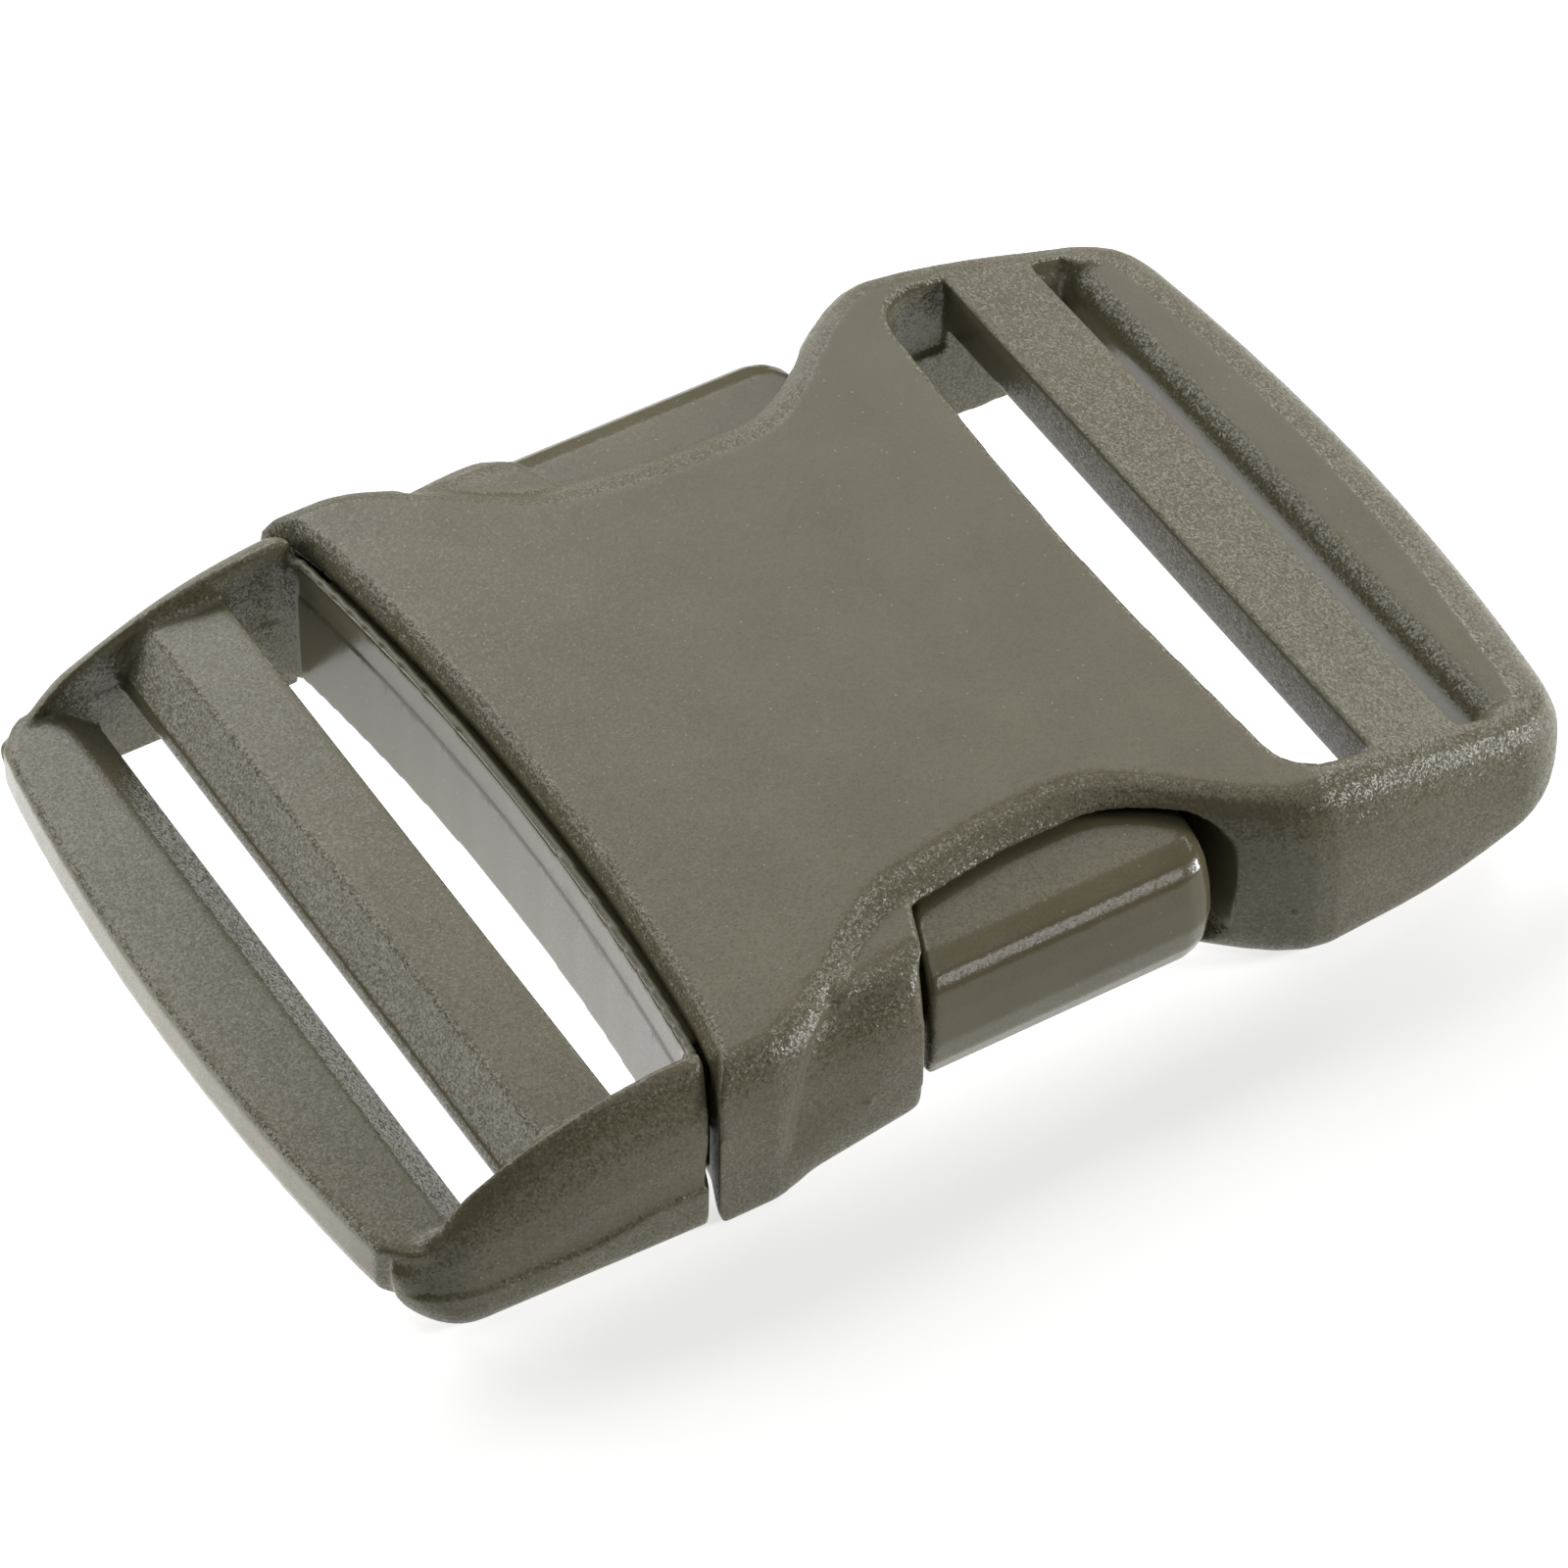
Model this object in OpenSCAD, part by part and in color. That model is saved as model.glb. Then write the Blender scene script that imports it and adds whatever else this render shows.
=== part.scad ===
// Side release buckle for 38 mm webbing, closed: a hollow socket and a plug, each one moulding.
// X runs from the plug's strap end to the socket's strap end, Z is up, and the part stands on z = 0.

/* [Overall] */
// length over both halves, closed
length = 74.4; // [60:0.1:100]
// height of the socket's flat faces
thick = 11; // [8:0.1:16]
// width at the seam between the halves
seam_width = 47.6; // [40:0.1:64]
// width across the flat waist behind the seam
waist_width = 35.4; // [26:0.1:44]
// width across the lobes beside the strap slots
lobe_width = 48.2; // [40:0.1:62]
// length of each strap slot across the buckle
slot_length = 41; // [30:0.1:56]
// gap between the two halves where they face each other
clear = 0.4; // [0.25:0.05:0.6]

/* [Socket] */
// wall thickness of the flat plates
plate = 1.8; // [1.4:0.1:2.4]
// distance from the plug's strap end to the mouth of the socket
mouth_at = 21.5; // [18:0.1:28]
// bow of the mouth over the seam width
mouth_bow = 1.9; // [0:0.1:4]
// how far the mouth turns further towards the plug at the sides
mouth_turn = 0.85; // [0:0.05:1.2]
// depth of the rough rim cut along the mouth
rim_drop = 1.4; // [0.5:0.1:1.6]
// width of that rim seen from above
rim_run = 0.5; // [0.3:0.1:1.5]
// rounding of the upper edge at the seam
shoulder = 1.9; // [1:0.1:3]
// drop of the roundings at the seam, the lobes and the fins, for each mm that they reach in
side_drop = 2.1; // [1:0.05:2.4]
// rounding of the upper edge at the waist
waist_round = 3.2; // [1.5:0.1:4]
// rounding of the edges of the lobes
lobe_round = 2.6; // [1.5:0.1:3.5]
// rounding of the lower edge at the seam
keel = 1; // [0.5:0.1:3]
// distance from the mouth to the front edge of the side window
window_from = 12; // [9:0.1:16]
// length of the side window
window_length = 17.7; // [14:0.1:24]
// height of the side window
window_height = 9; // [6:0.1:9]
// lean of the window's front edge towards the seam
window_lean = 0.4; // [0:0.01:0.8]
// top of the wing in front of the window, below the flat face
wing_drop = 0.55; // [0.3:0.05:2]
// rounding of the wing's upper edge
wing_round = 2.1; // [1:0.1:3]
// how much further that rounding reaches in beside the window
wing_swell = 1.3; // [0:0.1:2]
// how much the wing narrows from the seam to the window, each side
wing_taper = 0.8; // [0:0.1:4]
// distance from the mouth to the narrow part of the waist
waist_from = 12.8; // [10:0.1:16]
// distance from the mouth to where the waist widens into the lobes
neck_from = 22.8; // [20:0.1:28]
// rounding of the lobes' corners at the strap end, seen from above
lobe_corner = 4.6; // [3:0.1:6]
// fall of the lobes' upper side from the flat face to the strap end
lobe_fall = 3.1; // [1:0.1:4]
// rise of the lobes' underside towards the strap end
lobe_rise = 1.7; // [0:0.1:4]
// distance from the mouth to the inner strap slot
slot_from = 32.9; // [28:0.1:40]
// thickness of the end walls between the hollow and the strap slot
slot_wall = 2.2; // [1.5:0.1:3]
// thickness of the side walls beside the mouth
side_wall = 2.5; // [1.8:0.1:3.5]
// width of the inner strap slot
slot_gap = 5.6; // [3:0.1:7]
// width of the middle strap bar
bar_width = 5.5; // [3.5:0.1:7]
// rounding of the middle bar's outer edge
bar_edge = 1.1; // [0.4:0.1:1.6]
// height of the underside of the middle strap bar
bar_foot = 7; // [5:0.1:8]
// width of the outer strap slot
outer_gap = 2.1; // [2:0.1:6]
// height of the outer strap bar
outer_height = 5; // [3.5:0.1:7]
// bow of the outer bar's free edge
outer_bow = 1.6; // [0:0.1:4]

/* [Plug] */
// width of the outer strap bar's flat top
rail_width = 5.2; // [4:0.1:8]
// height of the outer strap bar's top
rail_top = 5.4; // [4:0.1:7]
// height of the outer strap bar's underside
rail_foot = 1.5; // [0.5:0.1:3]
// bow of the outer bar's free edge
rail_bow = 1.5; // [0:0.1:4]
// run of the ramp on the inner side of the outer bar
ramp = 2.3; // [1:0.1:4]
// distance from the free edge to the flat top of the middle bar
grip_from = 10.5; // [9:0.1:14]
// width of the middle bar's flat top
grip_width = 4.5; // [3:0.1:6]
// width of the rough slope on the middle bar
grip_slope = 1.6; // [1:0.1:3]
// height of the middle bar's top
grip_top = 9; // [7:0.1:10]
// height of the middle bar's underside
grip_foot = 4; // [2:0.1:6]
// rounding of the fins' corners at the strap end, seen from above
fin_corner = 6; // [4:0.1:8]
// rounding of the fins' upper outer edge at the seam
fin_edge = 2.7; // [1.5:0.1:3.2]
// top of the side fins at the seam
fin_top = 10.9; // [8:0.1:11]
// thickness of the side fins
fin_wall = 3.2; // [2.5:0.1:4]
// thickness of the curved base wall
base_wall = 0.6; // [0.5:0.1:1.5]
// top of the curved base wall
base_top = 9.8; // [8:0.1:10.5]
// width across the two buttons
button_width = 45.6; // [38:0.1:50]
// distance from the mouth to the strap end of a button
button_end = 28.3; // [24:0.1:32]
// run of the rounding on a button's outer side
button_ridge = 2.6; // [0.8:0.1:3]
// height of a button
button_height = 8.1; // [5:0.1:8.4]
// room that the hollow leaves for a spring arm outside the waist, beside the window
arm_room = 1.5; // [1.2:0.1:2]
// gap between a fin's end and the socket, beside the seam
fin_gap = 0.5; // [0.4:0.05:2]
// thickness of a spring arm
arm = 2.8; // [1.8:0.1:4]
// width of the middle guide tongue
tongue_width = 9; // [6:0.1:14]
// length of the middle guide tongue from the mouth
tongue_length = 25; // [12:0.5:30]

/* [Hidden] */
mid = thick / 2;
end_x = length / 2;
half_slot = slot_length / 2;
mouth_x = -end_x + mouth_at;
half_seam = seam_width / 2;
half_waist = waist_width / 2;
half_lobe = lobe_width / 2;
mouth_k = mouth_bow / pow(half_seam, 2);
slot_x = mouth_x + slot_from;
bar_x = slot_x + slot_gap;
slot2_x = bar_x + bar_width;
outer_x = slot2_x + outer_gap;
outer_k = outer_bow / pow(half_slot, 2);
inner = half_seam - fin_wall;
rail_k = rail_bow / pow(inner, 2);
window_x = mouth_x + window_from;
nose = outer_height / 2;
n_top = 5;
n_side = 5;

// share of the way of x between two stations, and the same eased at both ends
function share(x, a, b) = min(1, max(0, (x - a) / (b - a)));
function ease(t) = t * t * (3 - 2 * t);
// fall of a quarter round at share t of its run
function round_off(t) = 1 - sqrt(max(0, 1 - t * t));
function bend(x, y, z, k) = [x + k * y * y, y, z];

// one rounded corner of a section: half width w, rounding r = [reach, drop], from the flat side on
function corner_points(x, w, z, r, side, sign, k, turn) =
    [for (i = turn ? [n_side:-1:0] : [0:n_side]) let (t = 90 * i / n_side)
        bend(x, side * (w - r[0] * (1 - sin(t))), z - sign * r[1] * (1 - cos(t)), k)];

// closed section: half width w, top and bottom measured from the middle height, upper and lower rounding
function section(x, w, up, down, top_r, low_r, k) =
    let (ft = w - top_r[0], fl = w - low_r[0])
    concat(
        corner_points(x, w, mid + up, top_r, -1, 1, k, true),
        [for (j = [1 - n_top:n_top - 1]) bend(x, ft * j / n_top, mid + up, k)],
        corner_points(x, w, mid + up, top_r, 1, 1, k, false),
        corner_points(x, w, mid - down, low_r, 1, -1, k, true),
        [for (j = [n_top - 1:-1:1 - n_top]) bend(x, fl * j / n_top, mid - down, k)],
        corner_points(x, w, mid - down, low_r, -1, -1, k, false));

// skin over a list of closed rings
module skin(rings) {
    n = len(rings[0]);
    m = len(rings);
    polyhedron(
        points = [for (r = rings) for (p = r) p],
        faces = concat(
            [[for (i = [n - 1:-1:0]) i]],
            [for (s = [0:m - 2]) for (i = [0:n - 1])
                [s * n + i, s * n + (i + 1) % n, (s + 1) * n + (i + 1) % n]],
            [for (s = [0:m - 2]) for (i = [0:n - 1])
                [s * n + i, (s + 1) * n + (i + 1) % n, (s + 1) * n + i]],
            [[for (i = [0:n - 1]) (m - 1) * n + i]]),
        convexity = 6);
}

// line of the mouth, seen from above
function mouth_line(y) = mouth_x - mouth_k * y * y
    - mouth_turn * pow(share(abs(y), inner - 0.6, half_seam), 1.5);

// slab between two lines that run along the mouth, its far side leaning by lean from low to high
module mouth_slab(a, b, half, low, high, lean = 0) {
    n = 9;
    skin([for (i = [-n:n]) let (y = half * sin(90 * i / n), x = mouth_line(y))
        [[x + a, y, low], [x + b, y, low], [x + b + lean, y, high], [x + a, y, high]]]);
}

// the socket's outside from x to x: seam, waist, lobes and rounded strap end
crease_x = mouth_x + 0.8;
waist_x = mouth_x + waist_from;
narrow_x = waist_x + 7;
neck_x = mouth_x + neck_from;
lobe_x = slot_x + 1.6;
flare = 0.9;
lobe_taper = 0.8;
corner_x = end_x - lobe_corner;
function body_w(x) = x < neck_x
    ? half_waist + flare * (1 - ease(share(x, waist_x - 2, narrow_x)))
        + (half_seam - half_waist - flare) * (1 - ease(share(x, crease_x, waist_x)))
    : half_waist + (half_lobe - half_waist) * ease(share(x, neck_x, lobe_x))
        - lobe_taper * share(x, lobe_x, corner_x) - lobe_corner * round_off(share(x, corner_x, end_x));
function body_fall(x) = sqrt(max(0.003, 1 - pow(share(x, end_x - nose, end_x), 2)));
function body_up(x) = (mid - lobe_fall * pow(share(x, slot_x + 2.4, end_x - nose), 1.1)) * body_fall(x);
function body_down(x) = (mid - lobe_rise * pow(share(x, bar_x, end_x - nose), 2)) * body_fall(x);
function body_r(x) = waist_round + (shoulder - waist_round) * (1 - ease(share(x, crease_x, waist_x)))
    + (lobe_round - waist_round) * ease(share(x, neck_x, lobe_x));
function body_drop(x) = body_r(x) * (1 + (side_drop - 1)
    * (1 - ease(share(x, crease_x, waist_x)) + ease(share(x, neck_x, lobe_x))));
function keel_r(x) = keel + (waist_round - keel) * ease(share(x, crease_x, waist_x))
    + (lobe_round * 0.7 - waist_round) * ease(share(x, neck_x, lobe_x));
function body_k(x) = -outer_k * ease(share(x, slot_x + 6, end_x - 2));

module body() {
    stations = concat(
        [mouth_x - 4],
        [for (i = [0:12]) crease_x + (narrow_x - crease_x) * i / 12],
        [neck_x],
        [for (i = [1:9]) neck_x + (lobe_x - neck_x) * i / 9],
        [for (i = [1:6]) lobe_x + (corner_x - lobe_x) * i / 6],
        [for (i = [1:9]) corner_x + lobe_corner * sin(90 * i / 9)]);
    skin([for (x = stations) let (up = body_up(x), down = body_down(x), low = min(keel_r(x), down - 0.02))
        section(x, body_w(x), up, down, [body_r(x), min(body_drop(x), up + down - low - 0.04)],
            [keel_r(x), low], body_k(x))]);
}

// x of the window's front edge at distance y from the middle
function window_edge(y) = window_x - window_lean * (y - half_waist);

// pillow in front of each window, lower than the flat faces
function wing_low(x) = let (r = keel + 1.2 * share(x, crease_x, window_x)) [r, r];
module wings() {
    first = mouth_x - 3;
    intersection() {
        skin([for (i = [0:6]) let (x = first + (window_from + 5) * i / 6, t = share(x, crease_x, window_x))
            section(x, half_seam - wing_taper * t, mid - wing_drop, mid - wing_drop,
                [wing_round + wing_swell * t, side_drop * wing_round], wing_low(x), 0)]);
        near = half_waist - 5;
        far = half_seam + 1;
        for (s = [-1, 1]) scale([1, s, 1]) linear_extrude(thick)
            polygon([[first, near], [window_edge(near) + 0.3, near],
                [window_edge(far) + 0.3, far], [first, far]]);
    }
}

// plan of a strap slot: straight on the bar side, bowed with wide corners on the body side
module slot_plan(x0, x1, half, r) {
    bow = 0.7;
    polygon(concat(
        [[x1, -half], [x1, half]],
        [for (i = [0:4]) [x0 + bow + r * (1 - sin(22.5 * i)), half - r * (1 - cos(22.5 * i))]],
        [for (i = [-3:3]) [x0 + bow * pow(i / 4, 2), -half * 0.8 * i / 4]],
        [for (i = [4:-1:0]) [x0 + bow + r * (1 - sin(22.5 * i)), -half + r * (1 - cos(22.5 * i))]]));
}

// one end of a stretch of the hollow, w wide each side
module hollow_end(x, w) {
    translate([x, -w, plate]) cube([0.01, 2 * w, thick - 2 * plate]);
}

// trough above the outer bar: from its rounded inner edge to its free edge, with sloping ends
module bar_trough() {
    r = 1.3;
    top = mid + nose;
    slope = 0.9;
    half = half_slot - slope - 0.1;
    rise = 1.4;
    profile = concat([[slot2_x + 0.1, top - r]],
        [for (t = [0:22.5:90])
            [outer_x + r * (1 - cos(t)) - (t == 0 ? 0.01 : 0), top - r * (1 - sin(t))]],
        [[end_x + 2, top], [end_x + 2, thick + 1], [slot2_x + 0.1, thick + 1]]);
    skin([for (e = [[-half - slope, rise], [-half, 0], [half, 0], [half + slope, rise]])
        [for (q = profile) [q[0], e[0], q[1] + e[1]]]]);
}

module socket() color("#6b6657") {
    difference() {
        union() {
            body();
            wings();
        }
        // mouth with its rim, above and below
        mouth_slab(-8, 0, half_seam + 1, -1, thick + 1);
        mouth_slab(-8, 0, half_seam + 1, thick - rim_drop, thick + 0.1, rim_run);
        mouth_slab(-8, rim_run, half_seam + 1, -0.1, rim_drop, -rim_run);
        // hollow for the plug: a wide mouth, narrower behind the windows
        at_arms = half_waist + arm_room;
        hull() {
            hollow_end(mouth_x - 3, half_seam - side_wall);
            hollow_end(window_x, at_arms);
        }
        hull() {
            hollow_end(window_x - 1, at_arms);
            hollow_end(slot_x - slot_wall, half_waist - 1);
        }
        // side windows: leaning front edge, rounded rear corners
        window_round = 2;
        window_in = half_waist - 4.5;
        window_out = half_seam + 1;
        for (s = [-1, 1]) scale([1, s, 1]) {
            hull() for (y = [window_in, window_out])
                translate([window_edge(y), y, mid - window_height / 2]) cube([6, 0.1, window_height]);
            hull() for (z = [-1, 1]) for (x = [window_x + 4, window_x + window_length - window_round])
                translate([x, window_in, mid + z * (window_height / 2 - window_round)])
                    rotate([-90, 0, 0]) cylinder(h = window_out - window_in, r = window_round, $fn = 24);
        }
        // inner strap slot above, and one opening for both slots below the middle bar
        translate([0, 0, mid]) linear_extrude(thick) slot_plan(slot_x, bar_x, half_slot, 2.6);
        hull() for (x = [slot_x + 2.3, outer_x - 1.2]) for (y = [-1, 1])
            translate([x, y * (half_slot - 2.2), -1])
                cylinder(h = bar_foot + 1, r = x < bar_x ? 2 : 1.2, $fn = 24);
        // outer strap slot, and the trough above the outer bar
        hull() for (y = [-1, 1]) translate([slot2_x, y * (half_slot - 0.5) - 0.05, mid])
            cube([outer_gap, 0.1, thick]);
        bar_trough();
        // soft outer edge of the middle bar
        translate([slot2_x, half_slot - 1, thick]) rotate([90, 0, 0]) linear_extrude(slot_length - 2)
            polygon(concat([[-bar_edge, 0.1]],
                [for (t = [0:22.5:90]) [-bar_edge * (1 - sin(t)), -0.8 * bar_edge * (1 - cos(t))]],
                [[0.2, -0.8 * bar_edge], [0.2, 0.1]]));
    }
}

// the plug's outside at its strap end: half width, and reach above and below the middle height
fin_x = -end_x + fin_corner;
fin_taper = 0.5;
function fin_w(x) = half_seam - fin_taper * share(x, mouth_x, fin_x)
    - 0.6 * fin_corner * round_off(1 - share(x, -end_x, fin_x));
function fin_up(x) = (fin_top - mid) * (1 - pow(1 - share(x, -end_x + 2, mouth_x - 2.5), 2.5)) + 0.02;
function fin_round(x) = fin_edge + 1.2 * (1 - share(x, fin_x, mouth_x));
function fin_down(x) = mid * (1 - 0.7 * round_off(1 - share(x, -end_x, -end_x + 5)));

module fins() {
    n = 10;
    web = 0.7;
    low = min(keel + 0.8, fin_down(-end_x) - 0.02);
    wall = mouth_line(inner) - clear - base_wall;
    stations = concat(
        [for (i = [0:n - 1]) -end_x + fin_corner * (1 - cos(90 * i / n))],
        [for (i = [0:8]) fin_x + (mouth_x - fin_x) * i / 8]);
    intersection() {
        difference() {
            skin([for (x = stations) let (r = fin_round(x), up = fin_up(x), down = fin_down(x))
                section(x, fin_w(x), up, down, [r, min(side_drop * r, up + down - low - 0.04)], [low, low],
                    rail_k * (1 - share(x, -end_x, fin_x)))]);
            translate([-end_x - 1, -inner, -1]) cube([mouth_at + 9, 2 * inner, thick + 2]);
        }
        fin_reach();
    }
    // corner web between each fin and the base wall
    for (s = [-1, 1]) scale([1, s, 1])
        translate([0, 0, thick - base_top]) linear_extrude(2 * base_top - thick)
            polygon([[wall - web, inner + 0.3], [wall + base_wall - 0.1, inner + 0.3],
                [wall + base_wall - 0.1, inner - web - 0.1], [wall, inner - web - 0.1],
                [wall - web, inner]]);
}

// all that lies on the plug's side of the fins' ends
module fin_reach() {
    n = 12;
    half = half_seam + 1;
    far = -end_x - 3;
    skin([for (i = [-n:n]) let (y = half * sin(90 * i / n),
        x = mouth_line(y) - clear - (fin_gap - clear) * (0.4 + 0.6 * share(abs(y), inner, inner + 1.5)))
        [[far, y, -1], [x, y, -1], [x, y, thick + 1], [far, y, thick + 1]]]);
}

// outer strap bar: flat top, ramp on the inside, rounded underneath, bowed free edge turning in at the fins
module rail() {
    n = 8;
    r = 1.4;
    reach = inner + 0.8;
    function rail_end(y) = 1.6 * pow(share(abs(y), inner - 1.2, reach), 2);
    far = -end_x + rail_width;
    profile = concat(
        [for (t = [0, 30, 60, 90]) [r - r * sin(t), rail_foot + r - r * cos(t)]],
        [[0, rail_top - 0.25], [0.2, rail_top]]);
    skin([for (j = [-n:n]) let (y = reach * sin(90 * j / n), x0 = -end_x + rail_k * y * y + rail_end(y))
        concat(
            [[far + ramp - 0.5, y, rail_foot], [far + ramp, y, rail_foot + 0.8],
                [far + ramp, y, rail_top - ramp], [far, y, rail_top]],
            [for (i = [len(profile) - 1:-1:0]) [x0 + profile[i][0], y, profile[i][1]]])]);
}

// middle bar: flat top, rough slope towards the strap end
module grip() {
    x0 = -end_x + grip_from;
    rotate([90, 0, 0]) translate([0, 0, -inner - 0.4]) linear_extrude(2 * inner + 0.8)
        polygon([[x0, grip_top], [x0 - grip_slope, grip_top - 2.4], [x0 - grip_slope, grip_foot + 1.2],
            [x0 - grip_slope + 1.2, grip_foot], [x0 + grip_width - 0.6, grip_foot],
            [x0 + grip_width, grip_foot + 0.6], [x0 + grip_width, grip_top]]);
}

// upper half of a button's outer side: shares of its rounding's run and of the half height
button_shares = [[1, 0.96], [0.56, 0.88], [0.31, 0.74], [0.09, 0.4], [0, 0]];
// section of a button and of the block behind it at x, or at the window's front edge and in from it,
// pulled in by d at the outside and s of its full height
function button_ring(x, front, d, s) =
    let (y0 = half_waist - 3, y1 = button_width / 2 - d, h = button_height / 2 * s,
        upper = [for (q = button_shares) [y1 - button_ridge * q[0], q[1]]],
        lower = [for (i = [3:-1:0]) [upper[i][0], -upper[i][1]]])
    [for (p = concat([[y0, 1]], upper, lower, [[y0, -1]]))
        [front ? window_edge(p[0]) + x : x, p[0], mid + h * p[1]]];

module button() {
    r = 1.9;
    x1 = mouth_x + button_end;
    skin(concat(
        [button_ring(clear * 1.1, true, 0.25, 0.97), button_ring(clear * 1.1 + 0.2, true, 0, 1)],
        [for (t = [0:30:90])
            button_ring(x1 - r * (1 - sin(t)), false, r * (1 - cos(t)), 1 - 0.08 * (1 - cos(t)))]));
}

module plug() color("#6b6657") {
    low = plate + clear;
    high = thick - plate - clear;
    root = min(half_waist - 0.6, half_seam - side_wall - clear - arm);
    fins();
    rail();
    grip();
    // curved base wall, and the block behind it that joins the arms' roots
    mouth_slab(-clear - base_wall, -clear, inner + 0.6, thick - base_top, base_top);
    mouth_slab(-clear - 0.1, 1.6, root + arm - 1.1, low, high);
    // spring arms with their buttons
    bow = [[mouth_x, root], [window_x - 1, half_waist - 1.7], [window_x + 2, half_waist - 2.9]];
    for (s = [-1, 1]) scale([1, s, 1]) {
        for (i = [0, 1]) hull() for (p = [bow[i], bow[i + 1]])
            translate([p[0], p[1], low]) cube([0.1, arm, high - low]);
        button();
    }
    // guide tongue
    r = 2;
    hull() {
        translate([mouth_x, -tongue_width / 2, low]) cube([0.1, tongue_width, high - low]);
        for (s = [-1, 1]) translate([mouth_x + tongue_length - r, s * (tongue_width / 2 - r), low])
            cylinder(h = high - low, r = r, $fn = 24);
    }
}

socket();
plug();
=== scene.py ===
"""Looks of the closed side release buckle: two olive grey acetal mouldings on a pale floor."""

import math

import bpy
import numpy as np
from mathutils import Euler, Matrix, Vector

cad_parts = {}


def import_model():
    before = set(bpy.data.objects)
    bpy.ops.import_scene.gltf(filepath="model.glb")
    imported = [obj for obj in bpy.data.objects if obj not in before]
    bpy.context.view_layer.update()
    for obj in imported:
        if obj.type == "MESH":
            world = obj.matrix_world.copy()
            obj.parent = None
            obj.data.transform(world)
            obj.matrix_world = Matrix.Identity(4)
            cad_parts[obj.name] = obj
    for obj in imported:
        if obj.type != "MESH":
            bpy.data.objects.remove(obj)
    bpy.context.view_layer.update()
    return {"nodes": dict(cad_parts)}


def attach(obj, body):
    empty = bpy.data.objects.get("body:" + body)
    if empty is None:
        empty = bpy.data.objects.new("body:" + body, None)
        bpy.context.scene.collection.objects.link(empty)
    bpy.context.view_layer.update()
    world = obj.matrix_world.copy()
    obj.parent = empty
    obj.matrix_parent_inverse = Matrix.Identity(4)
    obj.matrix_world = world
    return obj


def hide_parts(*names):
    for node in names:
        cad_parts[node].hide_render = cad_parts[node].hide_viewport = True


MM = 0.001

# Moulded edges: the solids are welded and remeshed at this pitch, and smoothed in steps, the ridges more.
WELD = 0.002 * MM
PITCH = 0.14 * MM
EASE_FACTOR = 0.5
EASE_STEPS = 14
RIDGE_STEPS = 70
# Each piece is then thinned to this many triangles.
TRIANGLES = 190000

# Places on the buckle, in mm. Middle height, and how far from it the wings' ridges begin.
MIDDLE = 5.5
WING_RISE = 2.2
# Wings of the socket: from the seam to the window, and half width inside their ridges.
WING_FROM = -14.2
WING_TO = -4.6
WING_HALF = 19.6
# Fins of the plug: x at their end, half width at their inner side, and lowest height of their ridges.
FIN_TO = -16.9
FIN_INNER = 20.6
FIN_RIDGE_Z = 5.8
# Buttons of the plug, and the curved wall behind its inner slot: both smoother than the rest.
BUTTON_FROM = -4.9
WALL_FROM = -18.4
WALL_TO = -15.0
WALL_HALF = 19.8

# Crease that runs down each wing's side, where the wing steps in a little.
CREASE_Z = (3.5, 4.2, 5.9, 8.4, 9.8, 10.4)
CREASE_X = (-13.9, -13.7, -13.4, -12.8, -11.7, -10.1)
CREASE_DEPTH = 0.6

# Parting step that winds along the outside of each fin, and the steps on the walls of the slots.
PARTING_X = (-36, -33, -30, -27, -25, -23.5, -22, -20, -18)
PARTING_Z = (3.0, 3.0, 2.85, 2.9, 3.0, 3.3, 3.65, 3.7, 3.6)
PARTING_DEPTH = 0.22
FIN_STEP_Z, FIN_STEP_HEIGHT = 5.5, 0.07
WALL_STEP_Z, WALL_STEP_HEIGHT = 7.6, 0.06

# Marks of the mould on the near side, each with its place, radius and height: the gate on the wing, and
# the rim and the pit that the ejector left on the lobe.
MARKS = (
    ((-9.26, -23.4, 4.34), 0.35, 0.16),
    ((16.49, -23.42, 4.19), 0.55, 0.12),
    ((16.49, -23.42, 4.19), 0.3, -0.26),
)

# Share of the full grain on flat faces and the walls of the slots, on the buttons, and on the curved wall.
FLAT_GRAIN, BUTTON_GRAIN, WALL_GRAIN = 0.14, 0.15, 0.03

# The photograph's camera, fitted to the outline of the buckle: place in m, turn in degrees, lens in mm.
CAMERA_PLACE = (-0.146497, -0.22935, 0.290385)
CAMERA_TURN = (43.2627, -0.9407, -31.5852)
LENS, SENSOR = 172.472, 36.0

# Softboxes: name, direction from the buckle, distance and size in m, power in W.
SOFTBOXES = (
    ("key", (-0.12, 0.84, 0.52), 0.8, (0.7, 0.6), 4.9),
    ("back", (0.38, 0.66, 0.64), 0.8, (0.4, 0.4), 0.9),
    ("right", (0.78, 0.36, 0.5), 0.8, (0.35, 0.3), 2.4),
    ("side", (0.85, -0.45, 0.3), 0.7, (0.12, 0.15), 3.3),
    ("left", (-0.85, 0.5, 0.17), 0.8, (0.4, 0.3), 2.9),
    ("front", (0.37, -0.66, 0.70), 0.8, (0.15, 0.15), 0.6),
    ("top", (0.0, 0.03, 1.0), 0.8, (0.6, 0.6), 1.2),
)
FLOOR_SIZE = 6.0


def linear(hex_colour):
    """An sRGB hex colour as linear RGBA."""
    def channel(i):
        c = int(hex_colour[i:i + 2], 16) / 255
        return c / 12.92 if c <= 0.04045 else ((c + 0.055) / 1.055) ** 2.4
    return channel(1), channel(3), channel(5), 1.0


def add_node(tree, kind, settings=None, links=None):
    """Adds a node, sets sockets (by name or number) or properties, and links sockets from other nodes."""
    node = tree.nodes.new(kind)
    for name, value in (settings or {}).items():
        if isinstance(name, int) or name in node.inputs:
            node.inputs[name].default_value = value
        else:
            setattr(node, name, value)
    for name, source in (links or {}).items():
        tree.links.new(source, node.inputs[name])
    return node


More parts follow.
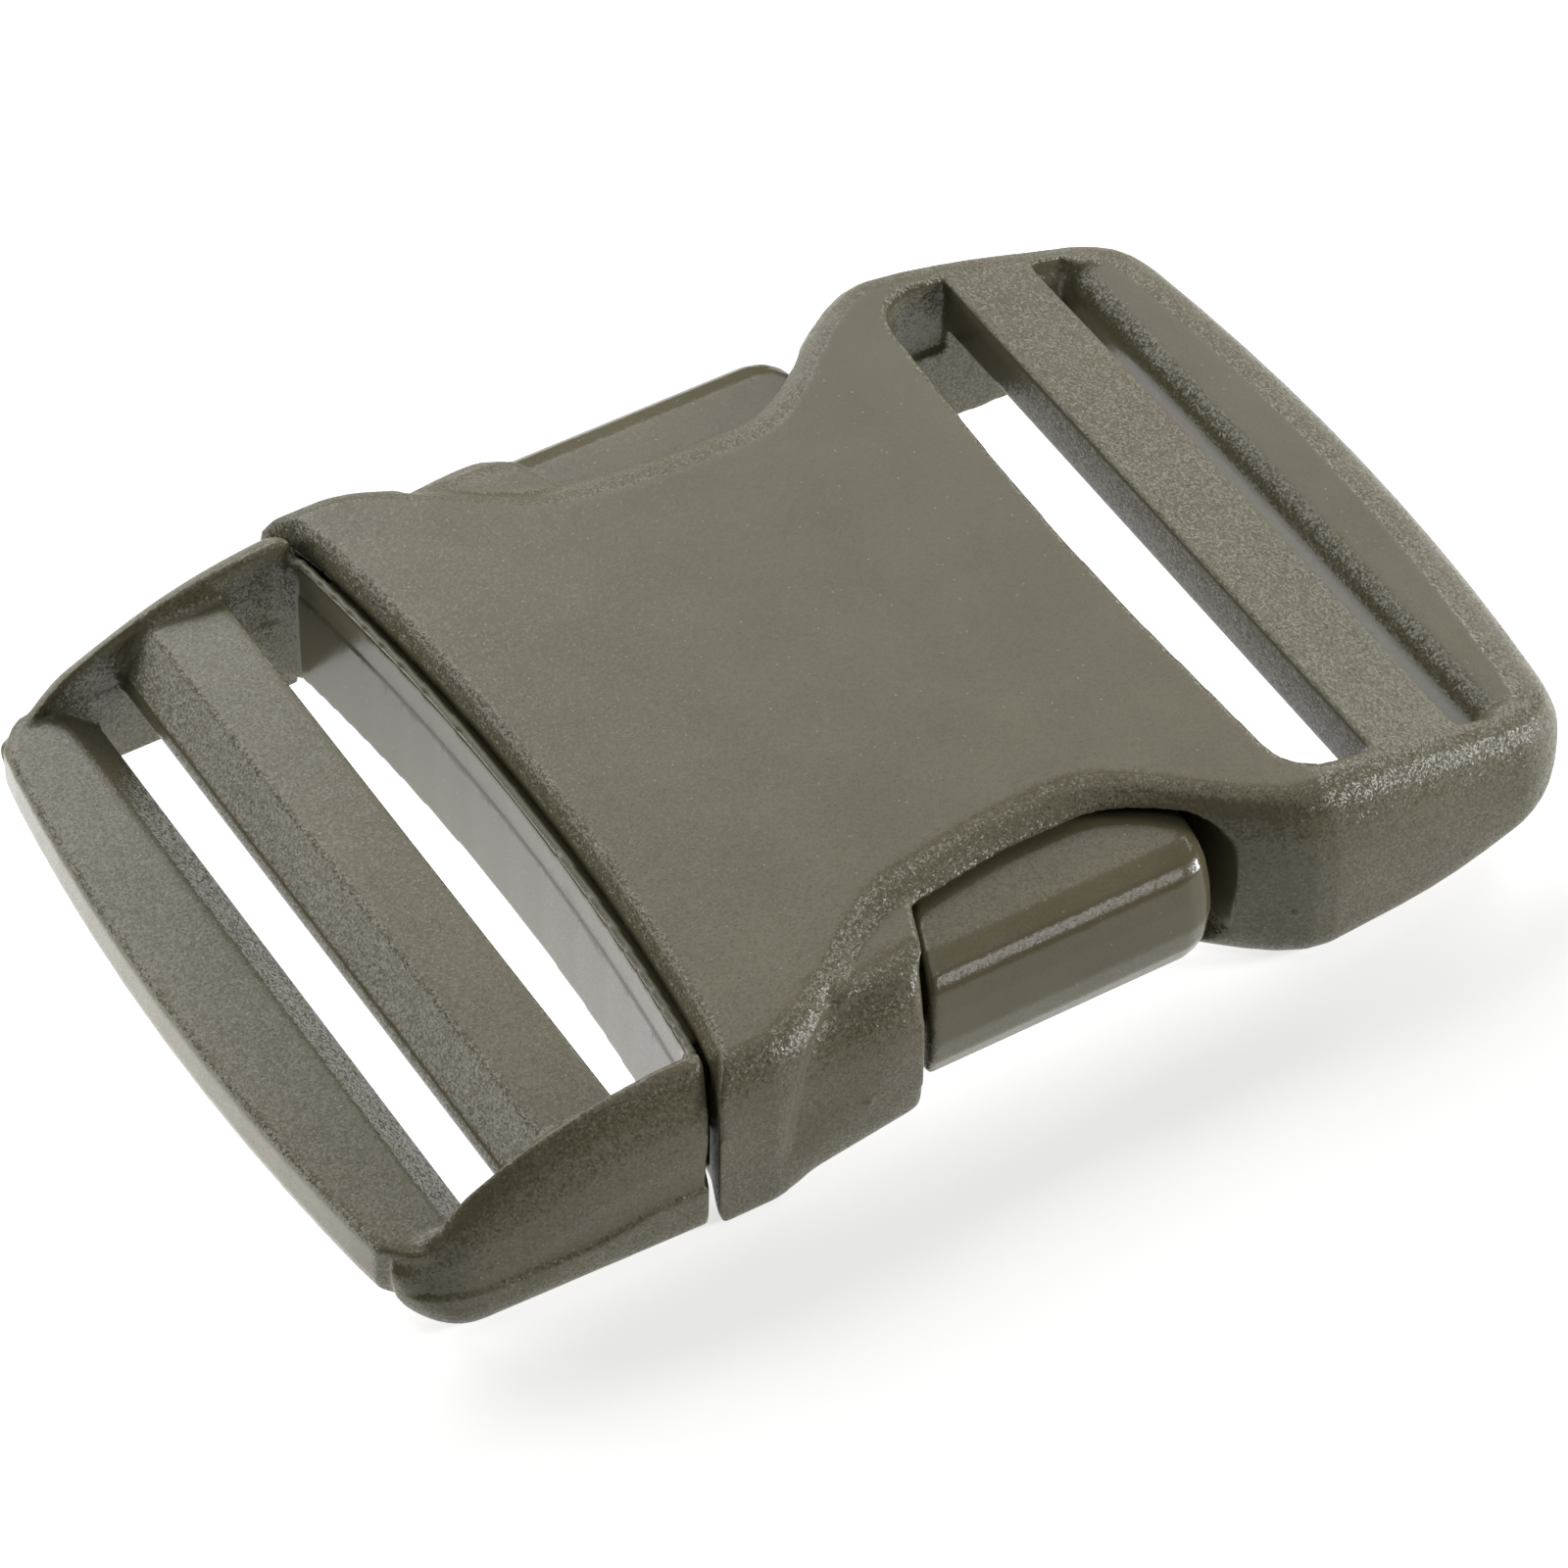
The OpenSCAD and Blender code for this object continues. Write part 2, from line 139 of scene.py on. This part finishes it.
def mapped(tree, source, old, new, kind="LINEAR"):
    """A value mapped from the range old to the range new."""
    node = add_node(tree, "ShaderNodeMapRange",
                    {"interpolation_type": kind, "From Min": old[0], "From Max": old[1],
                     "To Min": new[0], "To Max": new[1]}, {"Value": source})
    return node.outputs["Result"]


def new_material(name):
    """An empty material and its node tree."""
    material = bpy.data.materials.new(name)
    material.use_nodes = True
    material.node_tree.nodes.clear()
    return material, material.node_tree


def only(piece):
    """Makes a piece the only selected and active object."""
    bpy.ops.object.select_all(action="DESELECT")
    piece.select_set(True)
    bpy.context.view_layer.objects.active = piece


def add_modifier(piece, kind, **settings):
    """Adds a modifier to the active piece and applies it."""
    modifier = piece.modifiers.new(kind.title(), kind)
    for name, value in settings.items():
        setattr(modifier, name, value)
    bpy.ops.object.modifier_apply(modifier=modifier.name)


# Materials

def spark_eroded_acetal():
    """Acetal from a spark-eroded mould: a fine grain, worn on the flat faces, sharp on the roundings."""
    material, tree = new_material("olive_grey_acetal_spark_eroded")
    place = add_node(tree, "ShaderNodeTexCoord").outputs["Object"]
    texture = add_node(tree, "ShaderNodeAttribute", {"attribute_name": "grain"}).outputs["Fac"]

    # olive grey, a little uneven from the melt's flow
    flow_size = 5 * MM
    flow = add_node(tree, "ShaderNodeTexNoise", {"Scale": 1 / flow_size, "Detail": 3.0, "Roughness": 0.5},
                    {"Vector": place})
    tint = add_node(tree, "ShaderNodeValToRGB", links={"Fac": flow.outputs["Fac"]})
    for element, position, colour in zip(tint.color_ramp.elements, (0.3, 0.7), ("#56503c", "#5d5743")):
        element.position = position
        element.color = linear(colour)

    # sparse pale specks painted into the colour: partly specks in the plastic, partly painted glints of the
    # grain's facets
    speck_cell, speck_radius = 0.8 * MM, 0.07 * MM
    speck_and_glint_cells = add_node(tree, "ShaderNodeTexVoronoi", {"Scale": 1 / speck_cell}, {"Vector": place})
    radius = speck_radius / speck_cell
    speck_and_glint = mapped(tree, speck_and_glint_cells.outputs["Distance"], (0.6 * radius, radius), (0.35, 0.0))
    colour = add_node(tree, "ShaderNodeMixRGB", {"Color2": linear("#a8a294")},
                      {"Fac": speck_and_glint, "Color1": tint.outputs["Color"]})

    # grain: shallow bumps, and small facets that each lean their own way
    grain_size, grain_depth, facet_size = 0.2 * MM, 0.03 * MM, 0.11 * MM
    grain = add_node(tree, "ShaderNodeTexNoise", {"Scale": 1 / grain_size, "Detail": 2.0, "Roughness": 0.6},
                     {"Vector": place})
    bump = add_node(tree, "ShaderNodeBump", {"Distance": grain_depth},
                    {"Height": grain.outputs["Fac"], "Strength": mapped(tree, texture, (0, 1), (0.08, 1.0))})
    facets = add_node(tree, "ShaderNodeTexVoronoi", {"Scale": 1 / facet_size}, {"Vector": place})
    lean = add_node(tree, "ShaderNodeVectorMath", {"operation": "SUBTRACT", 1: (0.5, 0.5, 0.5)},
                    {0: facets.outputs["Color"]})
    leaning = add_node(tree, "ShaderNodeVectorMath", {"operation": "SCALE"},
                       {0: lean.outputs["Vector"], "Scale": mapped(tree, texture, (0, 1), (0.01, 0.42))})
    turned = add_node(tree, "ShaderNodeVectorMath", {"operation": "ADD"},
                      {0: bump.outputs["Normal"], 1: leaning.outputs["Vector"]})
    normal = add_node(tree, "ShaderNodeVectorMath", {"operation": "NORMALIZE"}, {0: turned.outputs["Vector"]})

    shader = add_node(tree, "ShaderNodeBsdfPrincipled", {"IOR": 1.48, "Metallic": 0.0},
                      {"Base Color": colour.outputs["Color"], "Normal": normal.outputs["Vector"],
                       "Roughness": mapped(tree, texture, (0, 1), (0.2, 0.36))})
    add_node(tree, "ShaderNodeOutputMaterial", links={"Surface": shader.outputs["BSDF"]})
    return material


def floor_acrylic():
    """Matt white acrylic of a light table, with a lamp tube below it along the buckle: the pale floor."""
    material, tree = new_material("matt_white_light_table_acrylic")
    tube_y, tube_half, tube_fade = 4 * MM, 14 * MM, 34 * MM
    place = add_node(tree, "ShaderNodeTexCoord").outputs["Object"]
    across = add_node(tree, "ShaderNodeSeparateXYZ", links={"Vector": place}).outputs["Y"]
    offset = add_node(tree, "ShaderNodeMath", {"operation": "SUBTRACT", 1: tube_y}, {0: across})
    distance = add_node(tree, "ShaderNodeMath", {"operation": "ABSOLUTE"}, {0: offset.outputs["Value"]})
    glow = mapped(tree, distance.outputs["Value"], (tube_half, tube_fade), (1.35, 0.42), "SMOOTHSTEP")
    shader = add_node(tree, "ShaderNodeBsdfPrincipled",
                      {"Base Color": linear("#d2d2d0"), "Roughness": 0.9, "Specular IOR Level": 0.1,
                       "Emission Color": linear("#ffffff")}, {"Emission Strength": glow})
    add_node(tree, "ShaderNodeOutputMaterial", links={"Surface": shader.outputs["BSDF"]})
    return material


# Mouldings

def vectors(mesh, name):
    """Places ("co") or normals ("normal") of a mesh's vertices, one row each."""
    values = np.empty(3 * len(mesh.vertices))
    mesh.vertices.foreach_get(name, values)
    return values.reshape(-1, 3)


def moulding(node, material, ridges, relief, grain):
    """Copies a CAD node, eases its edges as a mould does, and adds its fine relief and its finish."""
    solid = frame["nodes"][node]
    piece = solid.copy()
    piece.data = solid.data.copy()
    piece.name = node + "_moulding"
    bpy.context.collection.objects.link(piece)
    only(piece)
    bpy.ops.object.mode_set(mode="EDIT")
    bpy.ops.mesh.select_all(action="SELECT")
    bpy.ops.mesh.remove_doubles(threshold=WELD)
    bpy.ops.object.mode_set(mode="OBJECT")
    add_modifier(piece, "REMESH", mode="VOXEL", voxel_size=PITCH)
    add_modifier(piece, "SMOOTH", factor=EASE_FACTOR, iterations=EASE_STEPS)
    group = piece.vertex_groups.new(name="ridges")
    group.add(np.flatnonzero(ridges(vectors(piece.data, "co"))).tolist(), 1.0, "REPLACE")
    add_modifier(piece, "SMOOTH", factor=EASE_FACTOR, iterations=RIDGE_STEPS, vertex_group="ridges")

    points, normals = vectors(piece.data, "co"), vectors(piece.data, "normal")
    points += normals * MM * relief(points, normals)[:, None]
    piece.data.vertices.foreach_set("co", points.ravel())
    piece.data.update()
    faces = 2 * len(piece.data.polygons)
    add_modifier(piece, "DECIMATE", ratio=min(1.0, TRIANGLES / faces))
    bpy.ops.object.shade_smooth()

    texture = piece.data.attributes.new("grain", "FLOAT", "POINT")
    texture.data.foreach_set("value", grain(vectors(piece.data, "co"), vectors(piece.data, "normal")))
    piece.data.materials.clear()
    piece.data.materials.append(material)
    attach(piece, "root")
    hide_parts(node)


def step(values, low, high):
    """0 below low, 1 above high, eased between them."""
    t = np.clip((values - low) / (high - low), 0, 1)
    return t * t * (3 - 2 * t)


def pip(points, centre, radius, height):
    """A round pip on the surface, in mm."""
    away = np.linalg.norm(points / MM - np.array(centre), axis=1) / radius
    return height * np.clip(1 - away ** 2, 0, 1) ** 2


def socket_ridges(points):
    """The wings' upper and lower edges, that are more rounded than the rest."""
    x, y, z = points.T / MM
    return (x > WING_FROM) & (x < WING_TO) & (np.abs(y) > WING_HALF) & (np.abs(z - MIDDLE) > WING_RISE)


def plug_ridges(points):
    """The ridges of the fins beside the slots."""
    x, y, z = points.T / MM
    side = np.abs(y)
    return (x < FIN_TO) & (z > FIN_RIDGE_Z) & (side > FIN_INNER - 0.5) & (side < FIN_INNER + 2.2)


def socket_relief(points, normals):
    """The crease on each wing, and the marks of the mould on the near side, in mm."""
    x, y, z = points.T / MM
    outwards = np.sign(y) * normals[:, 1]
    wing = step(outwards, 0.2, 0.6) * step(np.abs(y), 20.0, 21.5) * (1 - step(x, WING_TO - 1.5, WING_TO))
    past = x - np.interp(z, CREASE_Z, CREASE_X)
    # deep at once, back to the wing's face over 6 mm, and faded out towards the underside
    crease = step(past, -1.1, 0.15) * (1 - step(past, 0.4, 6.0)) * step(z, 2.5, 6.0)
    return sum(pip(points, *mark) for mark in MARKS) - CREASE_DEPTH * wing * crease


def plug_relief(points, normals):
    """Parting step on the outside of each fin, and the steps on the walls of the slots, in mm."""
    x, y, z = points.T / MM
    side = np.abs(y)
    outwards = np.sign(y) * normals[:, 1]
    outside = step(outwards, 0.2, 0.5) * step(side, 21.2, 22.0) * step(-x, 16.2, 16.8)
    above = z - np.interp(x, PARTING_X, PARTING_Z)
    parting = outside * step(above, -0.1, 0.12) * (1 - step(above, 0.5, 4.0))
    inside = step(-outwards, 0.8, 0.95) * step(side, 19.8, 20.2) * step(-x, 17.0, 17.4)
    fin_step = inside * step(FIN_STEP_Z - z, -0.08, 0.08)
    facing = step(-normals[:, 0], 0.8, 0.95) * step(x, -18.5, -18.3) * (1 - step(x, -15.0, -14.8))
    wall_step = facing * step(WALL_STEP_Z - z, -0.08, 0.08)
    return FIN_STEP_HEIGHT * fin_step + WALL_STEP_HEIGHT * wall_step - PARTING_DEPTH * parting


def socket_grain(points, normals):
    """Full grain on roundings and sides, little on the flat faces and on the walls of the slots."""
    flat = step(np.abs(normals[:, 2]), 0.985, 0.998)
    wall = step(np.abs(normals[:, 0]), 0.93, 0.98)
    return 1 - (1 - FLAT_GRAIN) * np.maximum(flat, wall)


def plug_grain(points, normals):
    """As on the socket, with little grain on the buttons and hardly any on the curved wall."""
    x, y, z = points.T / MM
    wall = (x > WALL_FROM) & (x < WALL_TO) & (np.abs(y) < WALL_HALF)
    inner = np.where(wall, WALL_GRAIN, socket_grain(points, normals))
    return np.where(x > BUTTON_FROM, BUTTON_GRAIN, inner)


# Stage

def area_light(name, direction, distance, size, power):
    """A white softbox that faces the buckle from a direction."""
    lamp = bpy.data.lights.new(name, "AREA")
    lamp.shape = "RECTANGLE"
    lamp.size, lamp.size_y = size
    lamp.energy = power
    box = bpy.data.objects.new(name, lamp)
    bpy.context.collection.objects.link(box)
    towards = Vector(direction).normalized()
    box.location = towards * distance
    box.rotation_euler = towards.to_track_quat("Z", "Y").to_euler()


def floor():
    """The light table that the buckle lies on."""
    bpy.ops.mesh.primitive_plane_add(size=FLOOR_SIZE, location=(0, 0, 0))
    sheet = bpy.context.object
    sheet.name = "floor"
    sheet.data.materials.append(floor_acrylic())


def camera():
    """The photograph's view."""
    lens = bpy.data.cameras.new("camera")
    lens.sensor_width = SENSOR
    lens.lens = LENS
    lens.clip_start = 0.01
    eye = bpy.data.objects.new("camera", lens)
    bpy.context.collection.objects.link(eye)
    eye.location = CAMERA_PLACE
    eye.rotation_euler = Euler([math.radians(a) for a in CAMERA_TURN])
    bpy.context.scene.camera = eye


def world():
    """A faint grey studio around the lights, shown with plain colours."""
    sky = bpy.data.worlds.new("studio")
    sky.use_nodes = True
    sky.node_tree.nodes["Background"].inputs["Color"].default_value = linear("#c8ccd2")
    sky.node_tree.nodes["Background"].inputs["Strength"].default_value = 0.03
    bpy.context.scene.world = sky
    bpy.context.scene.view_settings.view_transform = "Standard"


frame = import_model()

acetal = spark_eroded_acetal()
moulding("socket", acetal, socket_ridges, socket_relief, socket_grain)
moulding("plug", acetal, plug_ridges, plug_relief, plug_grain)

floor()
camera()
world()
for softbox in SOFTBOXES:
    area_light(*softbox)
